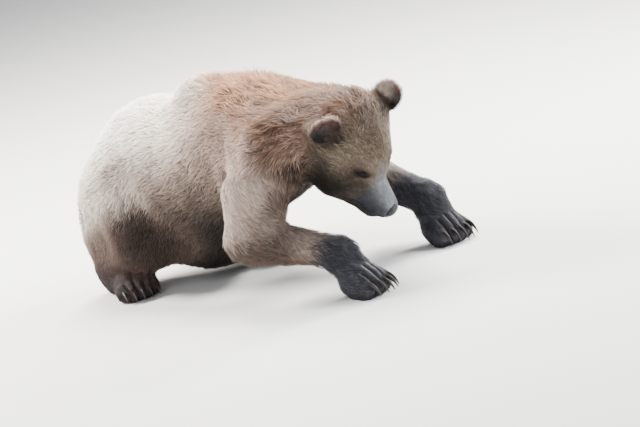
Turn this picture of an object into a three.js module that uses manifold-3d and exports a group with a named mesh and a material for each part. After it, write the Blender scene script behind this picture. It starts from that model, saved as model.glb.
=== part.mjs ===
// A life-size brown bear, crouched low with its head down between its forepaws, as a still museum model.
// Millimetres, +Z up, +X the way the bear heads, +Y its left. It stands on flats at Z = 0.
// Flesh and coat are one rounded form: soft unions of bones' muscle masses, out to the tips of the fur.
// Thin plane cuts part it into the pieces that a person would name.
import * as THREE from 'three';
import { mergeVertices } from 'three/addons/utils/BufferGeometryUtils.js';
import Module from 'manifold-3d';

const wasm = await Module();
wasm.setup();
const { Manifold, Mesh } = wasm;

const V = (x, y, z) => new THREE.Vector3(x, y, z);
const mirrored = (v) => V(v.x, -v.y, v.z);

// ---- driving dimensions ----------------------------------------------------------------------

const CUT = 0.6; // width of the thin cut between two neighbouring pieces
const TRUNK_CELL = 72; // sampling step of the trunk, neck and tail
const LIMB_CELL = 52; // sampling step of the upper and lower limbs
const PAW_CELL = { fore: 22, hind: 31 }; // sampling steps of the forepaws and hind feet
const HEAD_CELL = 24; // sampling step of the head

const HUMP_HEIGHT = 698; // top of the shoulder hump above the floor
const RUMP_HEIGHT = 630; // top of the rump above the floor
const BELLY_CLEARANCE = 30; // underside of the belly above the floor
const TRUNK_HALF_WIDTH = 258;

const SHOULDER = V(35, 150, 480); // left side; the right one mirrors it
const HIP = V(-735, 120, 350);

const JOINTS = {
  right: {
    elbow: V(-22, -272, 222),
    wrist: V(252, -158, 140),
    knee: V(-610, -205, 190),
    ankle: V(-818, -182, 84),
    ham: V(-820, -162, 232),
  },
  left: {
    elbow: V(-62, 296, 250),
    wrist: V(160, 358, 146),
    knee: V(-480, 215, 195),
    ankle: V(-560, 195, 84),
    ham: V(-765, 150, 290),
  },
};

const NOSE_TIP = V(306, 50, 203);
const FACE_FORWARD = V(0.342, 0.095, -0.936); // from the nape to the nose
const FACE_LEFT = V(0.12, 0.986, 0.115);

// ---- distance fields ---------------------------------------------------------------------------
// A form is { distance(p), soft }: its signed distance, and how softly it melts into the rest.

function ball(centre, radius, soft = 40) {
  return { soft, distance: (p) => p.distanceTo(centre) - radius };
}

// An ellipsoid with half-axes radii, turned by frame's axes.
function egg(centre, radii, soft = 60, frame = null) {
  const q = V(0, 0, 0);
  const inverse = frame ? frame.clone().setPosition(0, 0, 0).transpose() : null;
  return {
    soft,
    distance(p) {
      q.subVectors(p, centre);
      if (inverse) q.applyMatrix4(inverse);
      const near = Math.hypot(q.x / radii.x, q.y / radii.y, q.z / radii.z);
      const slope = Math.hypot(q.x / radii.x ** 2, q.y / radii.y ** 2, q.z / radii.z ** 2);
      return slope < 1e-9 ? -Math.min(radii.x, radii.y, radii.z) : (near * (near - 1)) / slope;
    },
  };
}

// A limb that tapers from radius ra at a to radius rb at b.
function taper(a, b, ra, rb, soft = 40) {
  const axis = V(0, 0, 0).subVectors(b, a);
  const length = axis.length();
  const sine = (ra - rb) / length;
  const cosine = Math.sqrt(1 - sine * sine);
  axis.normalize();
  const q = V(0, 0, 0);
  return {
    soft,
    distance(p) {
      q.subVectors(p, a);
      const along = q.dot(axis);
      const away = Math.sqrt(Math.max(0, q.lengthSq() - along * along));
      const foot = along * cosine - away * sine;
      if (foot < 0) return q.length() - ra;
      if (foot > length * cosine) return p.distanceTo(b) - rb;
      return away * cosine + along * sine - ra;
    },
  };
}

function softUnion(forms) {
  return (p) => {
    let d = Infinity;
    for (const form of forms) {
      const next = form.distance(p);
      const h = Math.max(form.soft - Math.abs(d - next), 0) / form.soft;
      d = Number.isFinite(d) ? Math.min(d, next) - (h * h * form.soft) / 4 : next;
    }
    return d;
  };
}

// ---- from field to closed mesh -----------------------------------------------------------------

const bitOf = (step) => step.x + 2 * step.y + 4 * step.z;

const CORNERS = [0, 1, 2, 3, 4, 5, 6, 7].map((c) => [c & 1, (c >> 1) & 1, c >> 2]);
const EDGES = [];
for (const a of CORNERS.keys()) for (const bit of [1, 2, 4]) if (!(a & bit)) EDGES.push([a, a | bit]);
const FACES = [1, 2, 4].flatMap((bit) => [0, bit].map((value) =>
  EDGES.filter(([a, b]) => (a & bit) === value && (b & bit) === value)));

// Groups a cell's crossed edges into the sheets of surface that pass through it. Across a face, two
// crossed edges belong together; of four, those that share an inner corner do.
function sheetsOf(d) {
  const crossed = EDGES.filter(([a, b]) => d[a] < 0 !== d[b] < 0);
  const sheet = new Map(crossed.map((edge, number) => [edge, number]));
  const innerCorner = ([a, b]) => (d[a] < 0 ? a : b);
  for (const face of FACES) {
    const here = face.filter((edge) => sheet.has(edge));
    for (const one of here)
      for (const other of here) {
        if (here.length > 2 && innerCorner(one) !== innerCorner(other)) continue;
        const [from, to] = [sheet.get(other), sheet.get(one)];
        for (const [edge, number] of sheet) if (number === from) sheet.set(edge, to);
      }
  }
  const groups = [...new Set(sheet.values())];
  return groups.map((number) => crossed.filter((edge) => sheet.get(edge) === number));
}

// Moves a point along the field's slope onto its zero surface, by half a cell at most.
function settle(p, field, cell) {
  const h = cell / 20;
  const slope = V(
    field(V(p.x + h, p.y, p.z)) - field(V(p.x - h, p.y, p.z)),
    field(V(p.x, p.y + h, p.z)) - field(V(p.x, p.y - h, p.z)),
    field(V(p.x, p.y, p.z + h)) - field(V(p.x, p.y, p.z - h)),
  ).divideScalar(2 * h);
  const steep = Math.max(slope.length(), 0.3);
  const move = Math.max(-cell / 3, Math.min(cell / 3, -field(p) / steep));
  p.addScaledVector(slope.normalize(), move);
}

// Samples the field in a box, puts a vertex in each cell for each sheet that crosses it, and joins the
// four cells round each crossed edge with a square. The box's border counts as outside.
function surfaceOf(field, box, cell) {
  const size = box.getSize(V(0, 0, 0));
  const n = [size.x, size.y, size.z].map((s) => Math.ceil(s / cell) + 1);
  const at = (i, j, k) => i + n[0] * (j + n[1] * k);
  const point = (i, j, k) => V(i, j, k).multiplyScalar(cell).add(box.min);
  const values = new Float64Array(n[0] * n[1] * n[2]);
  for (let k = 0; k < n[2]; k += 1)
    for (let j = 0; j < n[1]; j += 1)
      for (let i = 0; i < n[0]; i += 1) {
        const border = i === 0 || j === 0 || k === 0 || i === n[0] - 1 || j === n[1] - 1 || k === n[2] - 1;
        const d = field(point(i, j, k));
        values[at(i, j, k)] = border ? Math.max(d, cell / 4) : d;
      }

  const vertexOf = new Map();
  const positions = [];
  for (let k = 0; k < n[2] - 1; k += 1)
    for (let j = 0; j < n[1] - 1; j += 1)
      for (let i = 0; i < n[0] - 1; i += 1) {
        const d = CORNERS.map(([x, y, z]) => values[at(i + x, j + y, k + z)]);
        for (const sheet of sheetsOf(d)) {
          const sum = V(0, 0, 0);
          for (const [a, b] of sheet) {
            sum.add(V(...CORNERS[a]).lerp(V(...CORNERS[b]), d[a] / (d[a] - d[b])));
            vertexOf.set(`${at(i, j, k)} ${a},${b}`, positions.length / 3);
          }
          const p = sum.divideScalar(sheet.length).add(V(i, j, k)).multiplyScalar(cell).add(box.min);
          settle(p, field, cell);
          positions.push(p.x, p.y, p.z);
        }
      }

  const index = [];
  const steps = [V(1, 0, 0), V(0, 1, 0), V(0, 0, 1)];
  for (let k = 0; k < n[2] - 1; k += 1)
    for (let j = 0; j < n[1] - 1; j += 1)
      for (let i = 0; i < n[0] - 1; i += 1)
        steps.forEach((step, axis) => {
          const here = values[at(i, j, k)];
          const there = values[at(i + step.x, j + step.y, k + step.z)];
          if (here < 0 === there < 0) return;
          const u = steps[(axis + 1) % 3];
          const v = steps[(axis + 2) % 3];
          const ring = [[0, 0], [1, 0], [1, 1], [0, 1]].map(([a, b]) => {
            const low = a * bitOf(u) + b * bitOf(v);
            const key = at(i - a * u.x - b * v.x, j - a * u.y - b * v.y, k - a * u.z - b * v.z);
            return vertexOf.get(`${key} ${low},${low + bitOf(step)}`);
          });
          if (here > 0) ring.reverse();
          index.push(ring[0], ring[1], ring[2], ring[0], ring[2], ring[3]);
        });
  const geometry = new THREE.BufferGeometry();
  geometry.setAttribute('position', new THREE.Float32BufferAttribute(positions, 3));
  geometry.setIndex(index);
  return geometry;
}

function solid(geometry) {
  const bare = geometry.clone();
  bare.deleteAttribute('normal');
  bare.deleteAttribute('uv');
  const merged = mergeVertices(bare, 1e-3);
  return new Manifold(new Mesh({
    numProp: 3,
    vertProperties: merged.attributes.position.array,
    triVerts: new Uint32Array(merged.index.array),
  }));
}

// A grid can fall so that two sheets share an edge, which is no closed solid. A slightly larger step
// then moves every sample, and the sheets part.
function closedSurface(field, box, cell) {
  for (let step = cell; step < cell * 1.06; step *= 1.013) {
    try {
      return solid(surfaceOf(field, box, step));
    } catch (error) {
      if (error.code !== 'NotManifold') throw error;
    }
  }
  throw new Error('no closed surface found');
}

function geometryOf(shape) {
  const mesh = shape.getMesh();
  const geometry = new THREE.BufferGeometry();
  geometry.setAttribute('position', new THREE.BufferAttribute(new Float32Array(mesh.vertProperties), 3));
  geometry.setIndex(new THREE.BufferAttribute(new Uint32Array(mesh.triVerts), 1));
  geometry.computeVertexNormals();
  return geometry;
}

// The largest connected body of a shape: a cut can leave crumbs no wider than the cut itself.
function mainBody(shape) {
  return shape.decompose().reduce((a, b) => (b.volume() > a.volume() ? b : a));
}

// A block from corner to corner in a frame's own axes, grown by margin on every side.
function block(low, high, frame = new THREE.Matrix4(), margin = 0) {
  const size = V(0, 0, 0).subVectors(high, low).addScalar(2 * margin);
  const middle = V(0, 0, 0).addVectors(low, high).multiplyScalar(0.5);
  const geometry = new THREE.BoxGeometry(size.x, size.y, size.z);
  geometry.translate(middle.x, middle.y, middle.z);
  geometry.applyMatrix4(frame);
  return solid(geometry);
}

// Axes with X along forward and Z as near to up as it can be.
function frameAt(origin, forward, up) {
  const x = forward.clone().normalize();
  const y = V(0, 0, 0).crossVectors(up, x).normalize();
  const z = V(0, 0, 0).crossVectors(x, y);
  return new THREE.Matrix4().makeBasis(x, y, z).setPosition(origin);
}

const inFrame = (frame, x, y, z) => V(x, y, z).applyMatrix4(frame);

// ---- trunk, neck and tail ----------------------------------------------------------------------

const HUMP_RADIUS = 112;
const TAIL_ROOT = V(-872, 0, 430);
const TAIL_TIP = V(-935, 0, 362);

function trunkForms() {
  const humpZ = HUMP_HEIGHT - HUMP_RADIUS;
  return [
    egg(V(-672, 0, RUMP_HEIGHT - 240), V(222, 238, 240), 90), // rump
    egg(V(-485, 0, 318), V(262, TRUNK_HALF_WIDTH, 318 - BELLY_CLEARANCE), 90), // belly
    egg(V(-185, 0, 430), V(235, 208, 195), 80), // chest
    egg(V(-305, 0, 405), V(200, 230, 215), 80), // ribs
    taper(V(-385, 0, humpZ), V(-140, 0, humpZ - 20), HUMP_RADIUS, HUMP_RADIUS, 60), // hump
    taper(V(-60, 0, 472), V(205, 25, 476), 158, 124, 60), // neck
    taper(TAIL_ROOT, TAIL_TIP, 50, 34, 40),
  ];
}

// ---- limbs -------------------------------------------------------------------------------------

function forelegForms(side, { elbow, wrist }) {
  const shoulder = side > 0 ? SHOULDER : mirrored(SHOULDER);
  const bladeTop = V(-190, 75 * side, 570);
  const triceps = V(0, 0, 0).lerpVectors(shoulder, elbow, 0.55).add(V(-40, 0, 10));
  return [
    taper(bladeTop, shoulder, 90, 108, 70), // shoulder blade and its muscle
    taper(shoulder, elbow, 108, 80, 50), // upper arm
    ball(triceps, side > 0 ? 84 : 92, 40),
    taper(elbow, wrist, 79, 52, 36), // forearm
  ];
}

function hindLegForms(side, { knee, ankle, ham }) {
  const hip = side > 0 ? HIP : mirrored(HIP);
  return [
    taper(hip, knee, 160, 96, 60), // thigh
    egg(ham, V(118, 100, 195), 50), // ham
    taper(knee, ankle, 92, 60, 45), // shank
  ];
}

// A paw in its own frame: X towards the claws, Y to the bear's left, Z out of its back.
// The origin lies on the floor under the middle of the toe pads.
const TOES = [-2, -1, 0, 1, 2];
const TOE_SPACING = 29;
const FOREPAW_RIGHT = frameAt(V(344, -140, 0), V(0.9, 0.22, 0), V(0, 0, 1));
const FOREPAW_LEFT = frameAt(V(236, 350, 0), V(1, -0.1, 0), V(0, 0, 1));
const HIND_FOOT_RIGHT = frameAt(V(-658, -248, 0), V(0.91, -0.42, 0), V(0, 0, 1));
const HIND_FOOT_LEFT = frameAt(V(-352, 190, 0), V(1, -0.05, 0), V(0, 0, 1));

const toeY = (toe) => toe * TOE_SPACING;
const toeX = (toe) => -4 * toe * toe; // the outer toes sit further back

function toeForms(frame) {
  return TOES.map((toe) => egg(inFrame(frame, toeX(toe) + 14, toeY(toe), 30), V(38, 17, 35), 12, frame));
}

function forepawForms(frame, wrist) {
  return [
    taper(wrist, inFrame(frame, -58, 0, 62), 55, 58, 36),
    egg(inFrame(frame, -28, 0, 42), V(68, 72, 55), 30, frame),
    ...toeForms(frame),
  ];
}

function hindFootForms(frame, ankle) {
  const heel = inFrame(frame, -205, 0, 42);
  return [
    taper(ankle, heel, 62, 50, 40),
    taper(heel, inFrame(frame, -60, 0, 38), 48, 50, 40),
    egg(inFrame(frame, -45, 0, 32), V(68, 72, 44), 30, frame),
    ...toeForms(frame),
  ];
}

// A claw is a run of tapering rings along an arc, from inside its toe to a blunt tip over the floor.
const CLAW = {
  fore: { reach: 58, root: 52, tip: 9, radius: 8 },
  hind: { reach: 40, root: 40, tip: 8, radius: 6.5 },
};
const CLAW_SIDES = 4;
const CLAW_RINGS = 3;

function clawGeometry(frame, toe, { reach, root, tip, radius }, margin) {
  const positions = [];
  const index = [];
  const yaw = -0.05 * toe;
  for (let ring = 0; ring <= CLAW_RINGS; ring += 1) {
    const t = ring / CLAW_RINGS;
    const thick = radius * (1 - 0.75 * t) + 1.5 * margin;
    const pitch = -1.15 * t; // leaves the toe level, then hooks down
    const forward = reach * (t - 0.12 * t * t) + (ring === 0 ? -margin : 0);
    const height = root + (tip - root) * t * (0.35 + 0.65 * t);
    for (let side = 0; side < CLAW_SIDES; side += 1) {
      const angle = (2 * Math.PI * side) / CLAW_SIDES;
      const x = toeX(toe) + 24 + forward * Math.cos(yaw) - thick * Math.sin(angle) * Math.sin(pitch);
      const y = toeY(toe) + forward * Math.sin(yaw) + thick * 0.72 * Math.cos(angle);
      const p = inFrame(frame, x, y, height + thick * Math.sin(angle) * Math.cos(pitch));
      positions.push(p.x, p.y, p.z);
    }
  }
  for (let ring = 0; ring < CLAW_RINGS; ring += 1)
    for (let side = 0; side < CLAW_SIDES; side += 1) {
      const next = (side + 1) % CLAW_SIDES;
      const [a, b] = [ring * CLAW_SIDES + side, ring * CLAW_SIDES + next];
      index.push(a, b, b + CLAW_SIDES, a, b + CLAW_SIDES, a + CLAW_SIDES);
    }
  const last = CLAW_RINGS * CLAW_SIDES;
  for (let side = 1; side < CLAW_SIDES - 1; side += 1) {
    index.push(0, side + 1, side);
    index.push(last, last + side, last + side + 1);
  }
  const geometry = new THREE.BufferGeometry();
  geometry.setAttribute('position', new THREE.Float32BufferAttribute(positions, 3));
  geometry.setIndex(index);
  return geometry;
}

// ---- head --------------------------------------------------------------------------------------
// The head's own frame: X from nape to nose, Y to the bear's left, Z out of the brow, origin at the
// nose tip.

const HEAD = frameAt(NOSE_TIP, FACE_FORWARD, V(0, 0, 0).crossVectors(FACE_FORWARD, FACE_LEFT));
const inHead = (x, y, z) => inFrame(HEAD, x, y, z);

const EYE = V(-153, 54.5, 55); // left eye's centre; the right one mirrors it
const EYE_RADIUS = 12;
const EYE_SOCKET = { middle: V(-150, 65, 64), radius: 15 }; // a dish round the eyeball
const EAR_RADII = V(58, 52, 21);
const EARS = {
  ear_right: { middle: V(-328, -134, 120), up: V(-0.6, -0.25, 0.75), facing: V(0.8, -0.45, 0.6) },
  ear_left: { middle: V(-322, 132, 100), up: V(-0.2, 0.72, 0.62), facing: V(0.35, -0.55, 0.75) },
};
const NOSE_DEPTH = 24;

function headForms() {
  const forms = [
    egg(inHead(-250, 0, 24), V(122, 116, 102), 50, HEAD), // cranium
    egg(inHead(-195, 0, 46), V(76, 70, 44), 36, HEAD), // forehead
    taper(inHead(-42, 0, -18), inHead(-145, 0, -12), 42, 53, 32), // muzzle
    egg(inHead(-18, 0, -14), V(25, 31, 30), 20, HEAD), // nose
    taper(inHead(-270, 0, -10), V(150, 20, 490), 108, 138, 50), // throat and nape
  ];
  for (const side of [-1, 1]) {
    forms.push(egg(inHead(-228, 77 * side, -48), V(88, 63, 90), 34, HEAD)); // cheek
    forms.push(taper(inHead(-52, 12 * side, -68), inHead(-125, 24 * side, -78), 36, 48, 24)); // chin
    forms.push(taper(inHead(-150, 34 * side, -84), inHead(-192, 50 * side, -92), 54, 73, 30)); // jaw
    forms.push(egg(inHead(-176, 46 * side, 54), V(32, 26, 24), 16, HEAD)); // brow
    forms.push(ball(inHead(-298, 90 * side, 68), 40, 40)); // root of the ear
    forms.push(ball(inHead(-330, 42 * side, 58), 76, 60)); // nape
  }
  return forms;
}

// An ear is a thick round plate, hollowed at the front. Each is turned its own way.
function earFrame({ middle, up, facing }) {
  const turn = new THREE.Matrix4().copy(HEAD).setPosition(0, 0, 0);
  const [upright, forward] = [up, facing].map((v) => v.clone().applyMatrix4(turn));
  return frameAt(inHead(middle.x, middle.y, middle.z), upright, forward);
}

function earSolid(ear) {
  const frame = earFrame(ear);
  const oval = (x, y, z, shift) =>
    solid(new THREE.IcosahedronGeometry(1, 2).scale(x, y, z).translate(0, 0, shift).applyMatrix4(frame));
  const { x, y, z } = EAR_RADII;
  return oval(x, y, z, 0).subtract(oval(x * 0.74, y * 0.74, z, z * 0.85));
}

// ---- the whole body, and its pieces --------------------------------------------------------------

const { right, left } = JOINTS;
const PAWS = [
  { name: 'forepaw_right', frame: FOREPAW_RIGHT, end: 'fore' },
  { name: 'forepaw_left', frame: FOREPAW_LEFT, end: 'fore' },
  { name: 'hind_foot_right', frame: HIND_FOOT_RIGHT, end: 'hind' },
  { name: 'hind_foot_left', frame: HIND_FOOT_LEFT, end: 'hind' },
];
const bodyField = softUnion([
  ...trunkForms(),
  ...forelegForms(-1, right),
  ...forelegForms(1, left),
  ...hindLegForms(-1, right),
  ...hindLegForms(1, left),
  ...headForms(),
  ...forepawForms(FOREPAW_RIGHT, right.wrist),
  ...forepawForms(FOREPAW_LEFT, left.wrist),
  ...hindFootForms(HIND_FOOT_RIGHT, right.ankle),
  ...hindFootForms(HIND_FOOT_LEFT, left.ankle),
]);
const ABOVE_FLOOR = block(V(-2000, -2000, 0), V(2000, 2000, 2000));

// The body sampled at one step, over the box that the given corners span, and cut flat at the floor.
function bodyNear(low, high, cell, grow = 0) {
  const field = (p) => bodyField(p) - grow;
  return closedSurface(field, new THREE.Box3(low, high), cell).intersect(ABOVE_FLOOR);
}

const pieces = new Map();
const taken = []; // the blocks already given to a piece, each a little larger than that piece

function takePiece(name, source, region, paddedRegion) {
  const shape = taken.reduce((rest, other) => rest.subtract(other), source.intersect(region));
  pieces.set(name, mainBody(shape));
  taken.push(paddedRegion);
}

const EVERYWHERE = [V(-1080, -480, -60), V(560, 480, 800)];
const limbBody = bodyNear(...EVERYWHERE, LIMB_CELL);
const trunkBody = bodyNear(...EVERYWHERE, TRUNK_CELL);

// Takes the stretch of a limb that lies in a block along its bone, from low to high in the bone's frame.
function takeBone(name, from, to, low, high, up, source = limbBody) {
  const frame = frameAt(from, V(0, 0, 0).subVectors(to, from), up);
  takePiece(name, source, block(low, high, frame), block(low, high, frame, CUT));
}

// Paws first. Each claw sits in a socket a hair's breadth wider than itself.
const PAW_TOP = { fore: 108, hind: 102 };
const PAW_BACK = { fore: -96, hind: -290 };
for (const { name, frame, end } of PAWS) {
  const low = V(PAW_BACK[end], -120, -40);
  const high = V(150, 120, PAW_TOP[end]);
  const centre = inFrame(frame, PAW_BACK[end] / 2, 0, 0);
  const reach = [V(-260, -260, -40).add(centre), V(260, 260, 190).add(centre)];
  const source = bodyNear(...reach, PAW_CELL[end]);
  takePiece(name, source, block(low, high, frame), block(low, high, frame, CUT));
  let paw = pieces.get(name);
  for (const toe of TOES) {
    pieces.set(`${name}_claw_${toe + 3}`, solid(clawGeometry(frame, toe, CLAW[end], 0)));
    paw = paw.subtract(solid(clawGeometry(frame, toe, CLAW[end], CUT)));
  }
  pieces.set(name, mainBody(paw));
}

// Head, in front of the nape. The nose leather, eyes and ears are pieces of their own.
const HEAD_REACH = [V(20, -210, 80), V(540, 300, 720)];
const headBody = bodyNear(...HEAD_REACH, HEAD_CELL);
const headAndGap = bodyNear(...HEAD_REACH, HEAD_CELL, 2 * CUT);
const headLow = V(-352, -152, -165);
const headHigh = V(90, 152, 220);
const noseLow = V(-NOSE_DEPTH, -60, -38);
const noseHigh = V(60, 60, 60);
for (const [name, ear] of Object.entries(EARS)) {
  pieces.set(name, mainBody(earSolid(ear).subtract(headAndGap).subtract(headBody)));
}
pieces.set('nose', mainBody(headBody.intersect(block(noseLow, noseHigh, HEAD))));
takePiece('head', headBody, block(headLow, headHigh, HEAD), block(headLow, headHigh, HEAD, CUT));
let head = pieces.get('head').subtract(block(noseLow, noseHigh, HEAD, CUT));
for (const [name, side] of [['eye_right', -1], ['eye_left', 1]]) {
  const centre = inHead(EYE.x, side * EYE.y, EYE.z);
  const eyeball = (radius) => solid(new THREE.IcosahedronGeometry(radius, 1).translate(...centre));
  const { middle, radius } = EYE_SOCKET;
  const dish = inHead(middle.x, side * middle.y, middle.z);
  head = head.subtract(solid(new THREE.IcosahedronGeometry(radius, 1).translate(...dish)));
  pieces.set(name, eyeball(EYE_RADIUS));
  head = head.subtract(eyeball(EYE_RADIUS + CUT));
}
pieces.set('head', mainBody(head));

// Limbs, from the far end inwards. Each is cut off square to its bone.
const ACROSS = V(0, 0, 1);
for (const side of ['right', 'left']) {
  const out = side === 'right' ? -1 : 1;
  const shoulder = V(SHOULDER.x, out * SHOULDER.y, SHOULDER.z);
  const hip = V(HIP.x, out * HIP.y, HIP.z);
  const { elbow, wrist, knee, ankle } = JOINTS[side];
  takeBone(`forearm_${side}`, elbow, wrist, V(25, -130, -160), V(420, 130, 130), ACROSS);
  takeBone(`upper_foreleg_${side}`, shoulder, elbow, V(92, -150, -150), V(420, 150, 150), V(0.1, out, 0.3));
  takeBone(`shank_${side}`, knee, ankle, V(15, -140, -150), V(330, 140, 150), ACROSS);
  takeBone(`thigh_${side}`, hip, knee, V(60, -200, -75), V(400, 200, 260), V(0, out, 0));
}

// Neck, between the nape and the shoulders; tail; and the trunk is what remains.
const NECK_ROOT = frameAt(V(70, 8, 470), V(1, 0.1, 0.02), ACROSS);
const neckLow = V(0, -230, -260);
const neckHigh = V(500, 230, 260);
takePiece('neck', trunkBody, block(neckLow, neckHigh, NECK_ROOT), block(neckLow, neckHigh, NECK_ROOT, CUT));
takeBone('tail', TAIL_ROOT, TAIL_TIP, V(30, -80, -80), V(160, 80, 80), ACROSS, trunkBody);
takePiece('trunk', trunkBody, ABOVE_FLOOR, ABOVE_FLOOR);

// ---- colours and hand-over ---------------------------------------------------------------------

const paint = (color, roughness) => new THREE.MeshStandardMaterial({ color, roughness });
const PALE_FUR = paint(0xb59a84, 0.9);
const DARK_FUR = paint(0x4a3b36, 0.85);
const HORN = paint(0x3a322c, 0.4);
const WET_SKIN = paint(0x2b2a30, 0.35);
const EYE_BROWN = paint(0x1d120c, 0.1);

function colourOf(name) {
  if (name.includes('claw')) return HORN;
  if (name.startsWith('eye')) return EYE_BROWN;
  if (name === 'nose') return WET_SKIN;
  return /paw|foot|shank/.test(name) ? DARK_FUR : PALE_FUR;
}

const group = new THREE.Group();
for (const [name, shape] of pieces) {
  const mesh = new THREE.Mesh(geometryOf(shape), colourOf(name));
  mesh.name = name;
  group.add(mesh);
}
const bounds = new THREE.Box3().setFromObject(group);
const middle = bounds.getCenter(V(0, 0, 0));
for (const mesh of group.children) mesh.geometry.translate(-middle.x, -middle.y, -bounds.min.z);

export default group;
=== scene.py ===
from math import cos, pi, radians, sin

import bmesh
import bpy
import numpy as np
from mathutils import Matrix, Vector
from mathutils.bvhtree import BVHTree


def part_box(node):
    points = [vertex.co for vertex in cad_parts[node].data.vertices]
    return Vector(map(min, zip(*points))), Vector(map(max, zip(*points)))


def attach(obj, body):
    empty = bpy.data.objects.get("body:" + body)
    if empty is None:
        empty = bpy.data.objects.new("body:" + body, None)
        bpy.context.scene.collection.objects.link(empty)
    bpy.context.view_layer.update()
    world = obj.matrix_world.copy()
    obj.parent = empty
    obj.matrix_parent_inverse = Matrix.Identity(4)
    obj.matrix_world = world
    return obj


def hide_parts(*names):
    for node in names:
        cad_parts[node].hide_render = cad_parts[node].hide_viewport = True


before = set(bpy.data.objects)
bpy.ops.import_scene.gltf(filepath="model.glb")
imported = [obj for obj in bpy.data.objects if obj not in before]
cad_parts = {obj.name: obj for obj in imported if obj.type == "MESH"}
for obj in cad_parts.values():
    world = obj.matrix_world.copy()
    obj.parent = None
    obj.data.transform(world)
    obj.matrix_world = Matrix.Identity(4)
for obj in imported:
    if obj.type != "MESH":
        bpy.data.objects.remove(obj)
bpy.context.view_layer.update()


# ---- Studio ------------------------------------------------------------------------------------
# A pale seamless floor, an even pale sky, broad soft lamps behind and above the bear that rim its back, a
# smaller one beyond its head, and a weak one in front. The camera stands low, off the bear's right
# shoulder, and is tilted a little.
FLOOR_SIZE = 160.0
CAMERA_TURN = radians(48)  # from the bear's right side towards its nose
CAMERA_RISE = radians(13)
CAMERA_TILT = radians(14)
CAMERA_DISTANCE = 10.0
VIEW_WIDTH = 1.984  # across the view at the aim point
AIM = Vector((0.5074, -0.2267, 0.2821))
SENSOR = 36.0
SKY_STRENGTH = 0.55
LAMPS = [  # name, place, aim, width, watts and colour
    ("lamp_behind", (-1.6, 1.6, 4.4), (0, 0, 0.4), 2.4, 840, (1.0, 0.97, 0.93)),
    ("lamp_over_rump", (-3.6, -1.8, 3.2), (-0.4, 0, 0.4), 2.2, 900, (1.0, 0.97, 0.94)),
    ("lamp_ahead", (3.4, 2.8, 3.6), (0.4, 0, 0.3), 2.6, 380, (0.97, 0.98, 1.0)),
    ("lamp_rim", (0.9, 3.2, 2.2), (0.45, 0, 0.45), 1.2, 310, (1.0, 0.99, 0.97)),
    ("lamp_front", (2.6, -4.2, 3.2), (0.1, 0, 0.3), 3.2, 120, (0.95, 0.97, 1.0)),
]

scene = bpy.context.scene


def plain_material(name, colour, roughness):
    material = bpy.data.materials.new(name)
    material.use_nodes = True
    shader = material.node_tree.nodes["Principled BSDF"]
    shader.inputs["Base Color"].default_value = (*colour, 1.0)
    shader.inputs["Roughness"].default_value = roughness
    return material, shader


floor_mesh = bpy.data.meshes.new("studio_floor")
half = FLOOR_SIZE / 2
floor_corners = [(-half, -half, 0), (half, -half, 0), (half, half, 0), (-half, half, 0)]
floor_mesh.from_pydata(floor_corners, [], [(0, 1, 2, 3)])
floor = bpy.data.objects.new("studio_floor", floor_mesh)
scene.collection.objects.link(floor)
floor_mesh.materials.append(plain_material("studio_paper", (0.72, 0.71, 0.69), 0.95)[0])

world = bpy.data.worlds.new("studio_air")
world.use_nodes = True
world.node_tree.nodes["Background"].inputs["Color"].default_value = (0.86, 0.92, 1.0, 1.0)
world.node_tree.nodes["Background"].inputs["Strength"].default_value = SKY_STRENGTH
scene.world = world

for name, place, aim, width, watts, colour in LAMPS:
    lamp = bpy.data.lights.new(name, "AREA")
    lamp.shape = "DISK"
    lamp.size = width
    lamp.energy = watts
    lamp.color = colour
    holder = bpy.data.objects.new(name, lamp)
    holder.location = place
    holder.rotation_euler = (Vector(aim) - Vector(place)).to_track_quat("-Z", "Y").to_euler()
    scene.collection.objects.link(holder)

back = Vector((sin(CAMERA_TURN) * cos(CAMERA_RISE), -cos(CAMERA_TURN) * cos(CAMERA_RISE),
               sin(CAMERA_RISE)))
level = Vector((cos(CAMERA_TURN), sin(CAMERA_TURN), 0))
upright = back.cross(level)
right = level * cos(CAMERA_TILT) - upright * sin(CAMERA_TILT)
up = upright * cos(CAMERA_TILT) + level * sin(CAMERA_TILT)
lens = bpy.data.cameras.new("camera")
lens.sensor_width = SENSOR
lens.lens = SENSOR * CAMERA_DISTANCE / VIEW_WIDTH
camera = bpy.data.objects.new("camera", lens)
camera.matrix_world = Matrix((right, up, back)).transposed().to_4x4()
camera.location = AIM + back * CAMERA_DISTANCE
scene.collection.objects.link(camera)
scene.camera = camera


# ---- Skin: the closed body -----------------------------------------------------------------------
# One skin runs over the whole bear. It starts as the flesh pieces, each swollen until the thin cuts
# between them close, drawn over with an even net, and smoothed more on the trunk than on face and feet.
NET = 0.006
SWELL = 0.0012
FINER_NEAR_NOSE = (0.34, 0.20)  # within each of these reaches the net is halved once more
FINER_NEAR_EYES = (0.030, 0.021)
FACE_FORWARD = Vector((0.342, 0.095, -0.936))
EYE_BEHIND_NOSE = 0.153
EYE_ABOVE_NOSE = 0.055
SMOOTHING_ROUNDS = 170
DRAW_IN, LET_OUT = 0.60, 0.62  # each round evens the skin, then swells it back to its size
COAT_DEPTH = dict(head=0.0, ear=0.003, neck=0.018, trunk=0.014, tail=0.014, upper_foreleg=0.012,
                  forearm=0.008, forepaw=0.003, thigh=0.012, shank=0.008, hind_foot=0.003, rest=0.01)
MUZZLE_COAT_DEPTH = 0.0015
CROWN_COAT_MORE = 0.0105  # added to the muzzle's depth towards the crown
HUMP_COAT_MORE = 0.007
HUMP_AT = (-0.02, 0.0, 0.62)
SOLE_HEIGHT = 0.006

flesh = [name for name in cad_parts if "claw" not in name and not name.startswith("eye")]
under_skin = flesh + ["eye_right", "eye_left"]


def middle_of(node):
    low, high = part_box(node)
    return (Vector(low) + Vector(high)) / 2


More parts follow.
